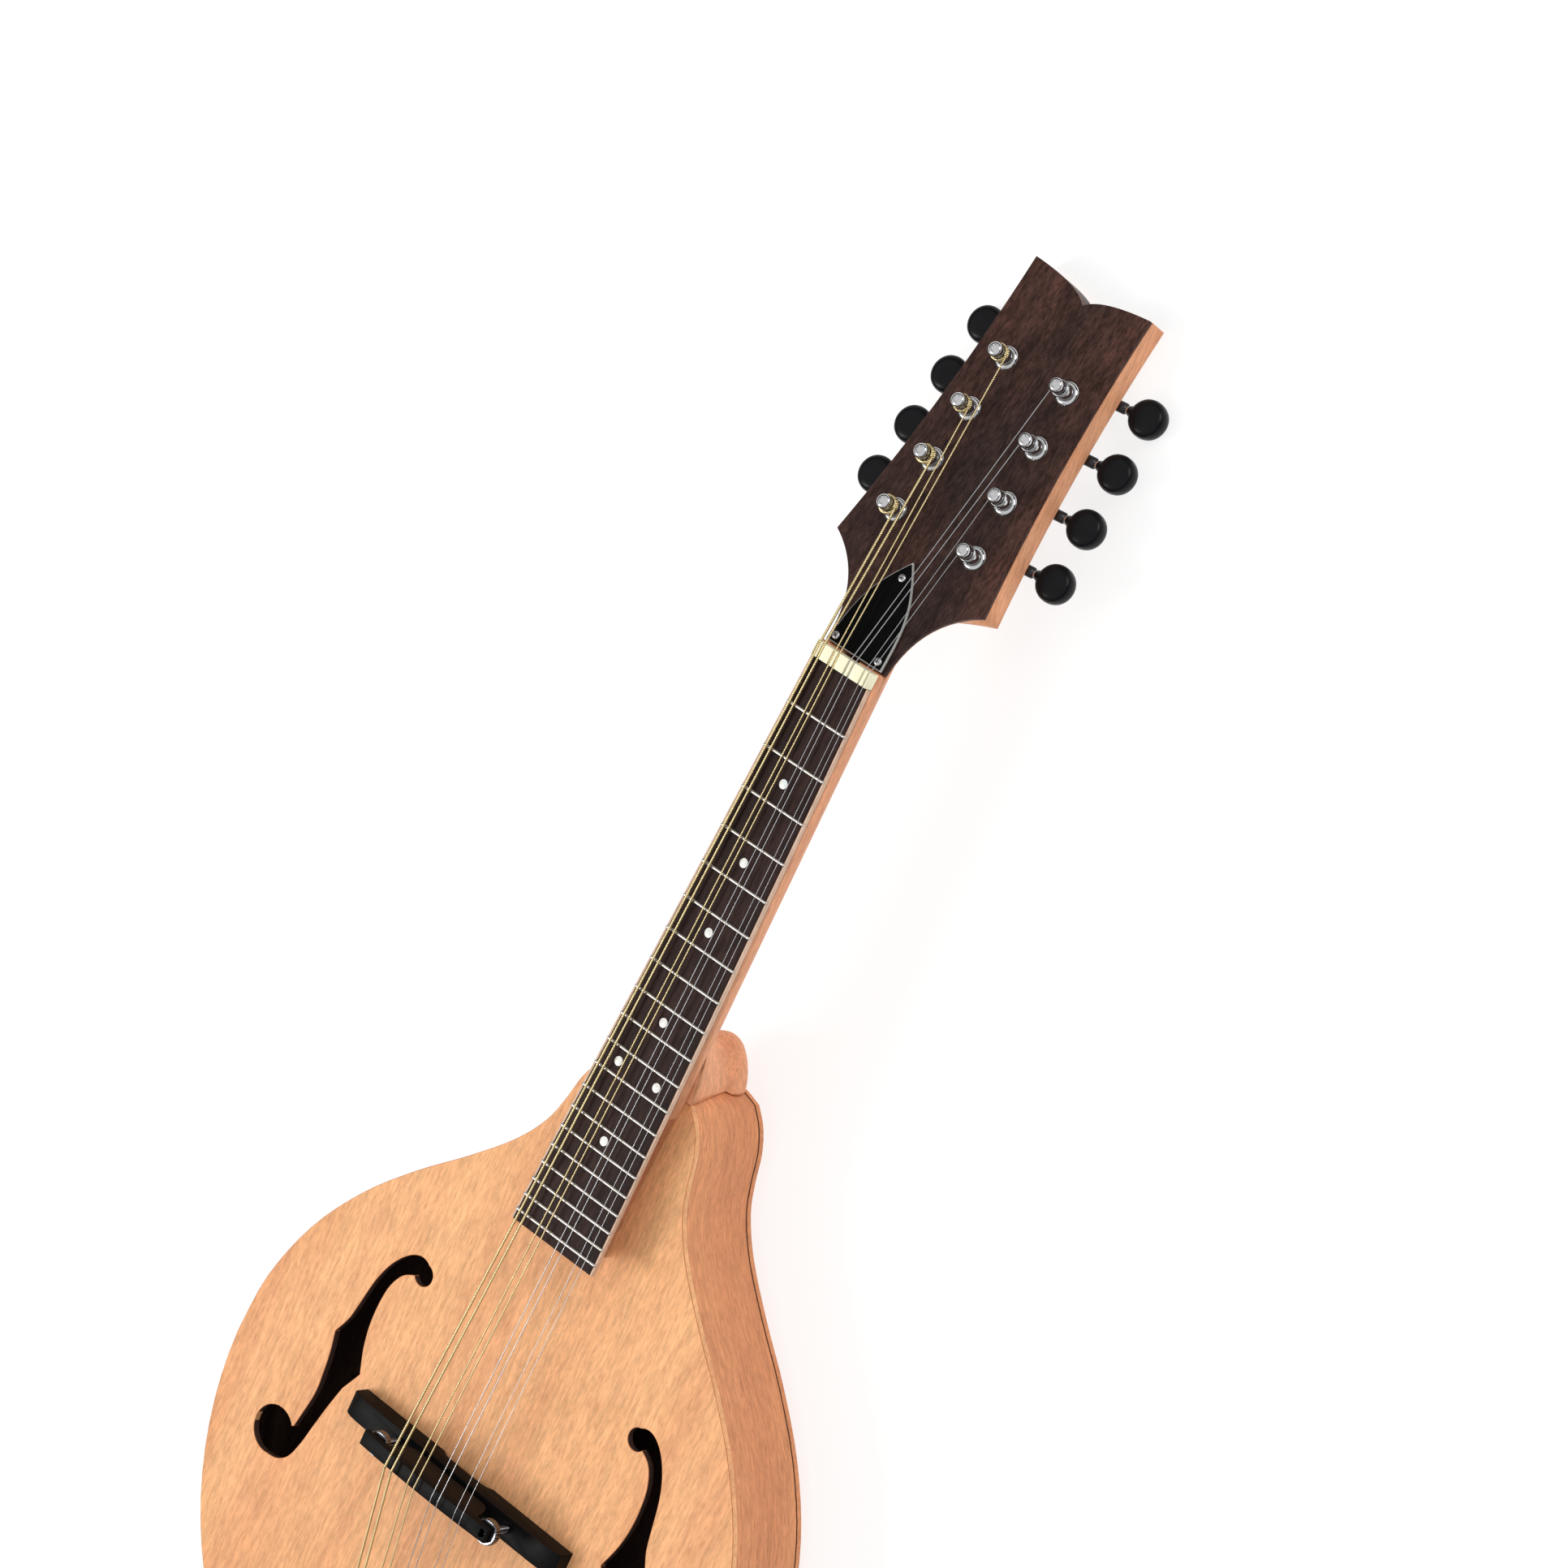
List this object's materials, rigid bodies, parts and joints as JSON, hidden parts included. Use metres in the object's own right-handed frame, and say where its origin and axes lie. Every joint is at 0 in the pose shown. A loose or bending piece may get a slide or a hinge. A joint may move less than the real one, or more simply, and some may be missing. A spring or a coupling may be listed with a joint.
{
  "type": "mandolin",
  "caption": "Teardrop mandolin with a flat top, scrolled sound holes, a tilted headstock with geared tuners, an adjustable bridge and paired strings.",
  "frame": {"origin": "on the flat outer face of the back, straight below the middle of the bridge saddle", "axes": "+Z normal to the back, out of the soundboard; +Y from the tail towards the headstock; +X towards the treble side"},
  "size_m": [0.2576, 0.6752, 0.0921],
  "materials": {
    "soundboard": "satin mahogany-like veneer",
    "body_wood": "satin mahogany-like veneer",
    "neck_wood": "satin",
    "inner_wood": "bare",
    "dark_wood": "satin",
    "nut_bone": "polished cream",
    "bridge_black": "black stained, satin",
    "black_plastic": "satin black",
    "chrome": "polished",
    "steel": "plain",
    "wound_string": "wound phosphor bronze"
  },
  "bodies": {
    "instrument": {"back_brace": "inner_wood", "back_plate": "body_wood", "bridge_base": "bridge_black", "bridge_post_bass": "chrome", "bridge_post_treble": "chrome", "fingerboard": "dark_wood", "headstock_veneer": "dark_wood", "lining_back_bass": "inner_wood", "lining_back_treble": "inner_wood", "lining_top_bass": "inner_wood", "lining_top_treble": "inner_wood", "neck": "neck_wood", "neck_block": "inner_wood", "nut": "nut_bone", "rib_bass": "body_wood", "rib_treble": "body_wood", "strap_button": "black_plastic", "string_1": "wound_string", "string_2": "wound_string", "string_3": "wound_string", "string_4": "wound_string", "string_5": "steel", "string_6": "steel", "string_7": "steel", "string_8": "steel", "tail_block": "inner_wood", "tailpiece_base": "chrome", "tone_bar_bass": "inner_wood", "tone_bar_treble": "inner_wood", "top_plate": "soundboard", "truss_rod": "steel", "truss_rod_cover": "black_plastic", "tuner_plate_bass": "chrome", "tuner_plate_treble": "chrome"},
    "button_bass_1": {"tuner_button_bass_1": "black_plastic"},
    "post_bass_1": {"tuner_post_bass_1": "chrome"},
    "button_bass_2": {"tuner_button_bass_2": "black_plastic"},
    "post_bass_2": {"tuner_post_bass_2": "chrome"},
    "button_bass_3": {"tuner_button_bass_3": "black_plastic"},
    "post_bass_3": {"tuner_post_bass_3": "chrome"},
    "button_bass_4": {"tuner_button_bass_4": "black_plastic"},
    "post_bass_4": {"tuner_post_bass_4": "chrome"},
    "button_treble_1": {"tuner_button_treble_1": "black_plastic"},
    "post_treble_1": {"tuner_post_treble_1": "chrome"},
    "button_treble_2": {"tuner_button_treble_2": "black_plastic"},
    "post_treble_2": {"tuner_post_treble_2": "chrome"},
    "button_treble_3": {"tuner_button_treble_3": "black_plastic"},
    "post_treble_3": {"tuner_post_treble_3": "chrome"},
    "button_treble_4": {"tuner_button_treble_4": "black_plastic"},
    "post_treble_4": {"tuner_post_treble_4": "chrome"},
    "saddle": {"bridge_saddle": "bridge_black"},
    "thumbwheel_bass": {"thumbwheel_bass": "chrome"},
    "thumbwheel_treble": {"thumbwheel_treble": "chrome"},
    "truss_nut": {"truss_rod_nut": "steel"},
    "tailpiece_lid": {"tailpiece_cover": "chrome"}
  },
  "joints": [
    {"name": "tuner_button_bass_1_turn", "type": "hinge", "parent": "instrument", "child": "button_bass_1", "pos_m": [-0.01936, 0.4081, 0.00583], "axis": [-0.9976, 0.0671, -0.0192], "continuous": true},
    {"name": "tuner_post_bass_1_turn", "type": "hinge", "parent": "instrument", "child": "post_bass_1", "pos_m": [-0.0198, 0.40206, 0.00756], "axis": [0, 0.2756, 0.9613], "continuous": true},
    {"name": "tuner_button_bass_2_turn", "type": "hinge", "parent": "instrument", "child": "button_bass_2", "pos_m": [-0.01776, 0.43006, -0.00047], "axis": [-0.9976, 0.0671, -0.0192], "continuous": true},
    {"name": "tuner_post_bass_2_turn", "type": "hinge", "parent": "instrument", "child": "post_bass_2", "pos_m": [-0.0182, 0.42402, 0.00127], "axis": [0, 0.2756, 0.9613], "continuous": true},
    {"name": "tuner_button_bass_3_turn", "type": "hinge", "parent": "instrument", "child": "button_bass_3", "pos_m": [-0.01617, 0.45202, -0.00676], "axis": [-0.9976, 0.0671, -0.0192], "continuous": true},
    {"name": "tuner_post_bass_3_turn", "type": "hinge", "parent": "instrument", "child": "post_bass_3", "pos_m": [-0.01661, 0.44598, -0.00503], "axis": [0, 0.2756, 0.9613], "continuous": true},
    {"name": "tuner_button_bass_4_turn", "type": "hinge", "parent": "instrument", "child": "button_bass_4", "pos_m": [-0.01457, 0.47398, -0.01306], "axis": [-0.9976, 0.0671, -0.0192], "continuous": true},
    {"name": "tuner_post_bass_4_turn", "type": "hinge", "parent": "instrument", "child": "post_bass_4", "pos_m": [-0.01501, 0.46794, -0.01133], "axis": [0, 0.2756, 0.9613], "continuous": true},
    {"name": "tuner_button_treble_1_turn", "type": "hinge", "parent": "instrument", "child": "button_treble_1", "pos_m": [0.01936, 0.4081, 0.00583], "axis": [0.9976, 0.0671, -0.0192], "continuous": true},
    {"name": "tuner_post_treble_1_turn", "type": "hinge", "parent": "instrument", "child": "post_treble_1", "pos_m": [0.0198, 0.40206, 0.00756], "axis": [0, 0.2756, 0.9613], "continuous": true},
    {"name": "tuner_button_treble_2_turn", "type": "hinge", "parent": "instrument", "child": "button_treble_2", "pos_m": [0.01776, 0.43006, -0.00047], "axis": [0.9976, 0.0671, -0.0192], "continuous": true},
    {"name": "tuner_post_treble_2_turn", "type": "hinge", "parent": "instrument", "child": "post_treble_2", "pos_m": [0.0182, 0.42402, 0.00127], "axis": [0, 0.2756, 0.9613], "continuous": true},
    {"name": "tuner_button_treble_3_turn", "type": "hinge", "parent": "instrument", "child": "button_treble_3", "pos_m": [0.01617, 0.45202, -0.00676], "axis": [0.9976, 0.0671, -0.0192], "continuous": true},
    {"name": "tuner_post_treble_3_turn", "type": "hinge", "parent": "instrument", "child": "post_treble_3", "pos_m": [0.01661, 0.44598, -0.00503], "axis": [0, 0.2756, 0.9613], "continuous": true},
    {"name": "tuner_button_treble_4_turn", "type": "hinge", "parent": "instrument", "child": "button_treble_4", "pos_m": [0.01457, 0.47398, -0.01306], "axis": [0.9976, 0.0671, -0.0192], "continuous": true},
    {"name": "tuner_post_treble_4_turn", "type": "hinge", "parent": "instrument", "child": "post_treble_4", "pos_m": [0.01501, 0.46794, -0.01133], "axis": [0, 0.2756, 0.9613], "continuous": true},
    {"name": "saddle_height", "type": "slide", "parent": "instrument", "child": "saddle", "axis": [0, 0, 1], "range_m": [-0.0015, 0]},
    {"name": "thumbwheel_bass_turn", "type": "hinge", "parent": "saddle", "child": "thumbwheel_bass", "pos_m": [-0.032, -0.00119, 0.0649], "axis": [0, 0, 1], "range_deg": [-775, 0]},
    {"name": "thumbwheel_treble_turn", "type": "hinge", "parent": "saddle", "child": "thumbwheel_treble", "pos_m": [0.0288, -0.00161, 0.0649], "axis": [0, 0, 1], "range_deg": [-775, 0]},
    {"name": "truss_rod_nut_turn", "type": "hinge", "parent": "instrument", "child": "truss_nut", "pos_m": [0, 0.35608, 0.0304], "axis": [0, 0.9973, -0.0741], "range_deg": [-180, 180]},
    {"name": "tailpiece_cover_lift", "type": "slide", "parent": "instrument", "child": "tailpiece_lid", "axis": [0, 0, 1], "range_m": [0, 0.025]}
  ],
  "couplings": [
    {"joint": "tuner_post_bass_1_turn", "follows": "tuner_button_bass_1_turn", "ratio": -0.066667},
    {"joint": "tuner_post_bass_2_turn", "follows": "tuner_button_bass_2_turn", "ratio": -0.066667},
    {"joint": "tuner_post_bass_3_turn", "follows": "tuner_button_bass_3_turn", "ratio": -0.066667},
    {"joint": "tuner_post_bass_4_turn", "follows": "tuner_button_bass_4_turn", "ratio": -0.066667},
    {"joint": "tuner_post_treble_1_turn", "follows": "tuner_button_treble_1_turn", "ratio": 0.066667},
    {"joint": "tuner_post_treble_2_turn", "follows": "tuner_button_treble_2_turn", "ratio": 0.066667},
    {"joint": "tuner_post_treble_3_turn", "follows": "tuner_button_treble_3_turn", "ratio": 0.066667},
    {"joint": "tuner_post_treble_4_turn", "follows": "tuner_button_treble_4_turn", "ratio": 0.066667},
    {"joint": "thumbwheel_bass_turn", "follows": "saddle_height", "rad_per_m": 8976},
    {"joint": "thumbwheel_treble_turn", "follows": "saddle_height", "rad_per_m": 8976}
  ]
}
